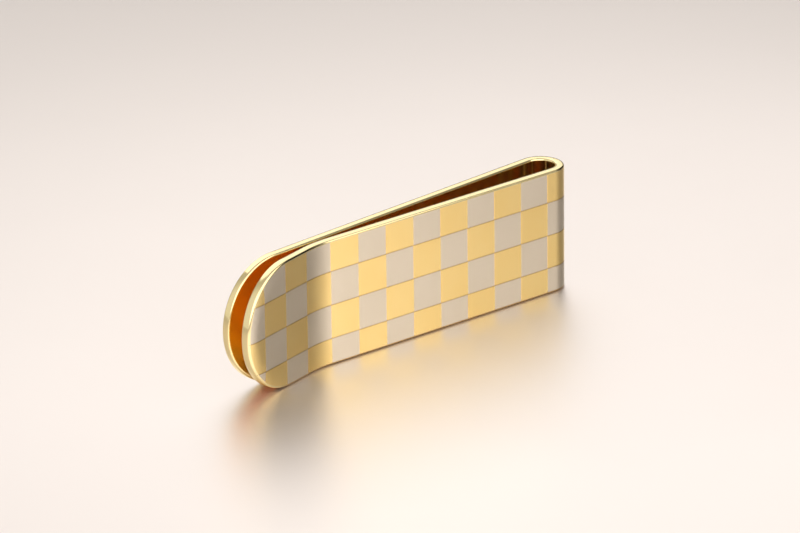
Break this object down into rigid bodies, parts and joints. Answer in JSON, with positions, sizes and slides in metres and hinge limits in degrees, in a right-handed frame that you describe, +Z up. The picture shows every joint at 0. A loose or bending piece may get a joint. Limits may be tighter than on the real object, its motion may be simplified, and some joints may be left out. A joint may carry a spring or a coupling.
{
  "type": "money clip",
  "caption": "Folded spring-steel money clip with a turned-out lip, round tips and a two-tone checkered front leaf.",
  "frame": {"origin": "middle of the clip's footprint, at the height of the long edge that it stands on", "axes": "+X along the clip towards the fold, -X towards the mouth; +Y out of the plain back leaf, -Y out of the checkered front leaf; +Z up across the strip's width"},
  "size_m": [0.056, 0.006, 0.0164],
  "materials": {
    "polished_gold": "polished gold plating on spring steel",
    "satin_gold": "satin gold plating",
    "satin_steel": "satin steel"
  },
  "bodies": {
    "back": {"back_leaf": "polished_gold", "spring_fold": "polished_gold", "fold_gold_checks": "satin_gold", "fold_steel_checks": "satin_steel"},
    "front": {"front_leaf": "polished_gold", "front_lip": "polished_gold", "gold_checks_row_1": "satin_gold", "gold_checks_row_2": "satin_gold", "gold_checks_row_3": "satin_gold", "gold_checks_row_4": "satin_gold", "steel_checks_row_1": "satin_steel", "steel_checks_row_2": "satin_steel", "steel_checks_row_3": "satin_steel", "steel_checks_row_4": "satin_steel"}
  },
  "joints": [
    {"name": "leaf_spring", "type": "hinge", "parent": "back", "child": "front", "pos_m": [0.02503, 0, 0.0082], "axis": [0, 0, 1], "range_deg": [0, 8], "stiffness_Nm_per_rad": 11, "deforming": ["spring_fold", "fold_gold_checks", "fold_steel_checks"]}
  ]
}
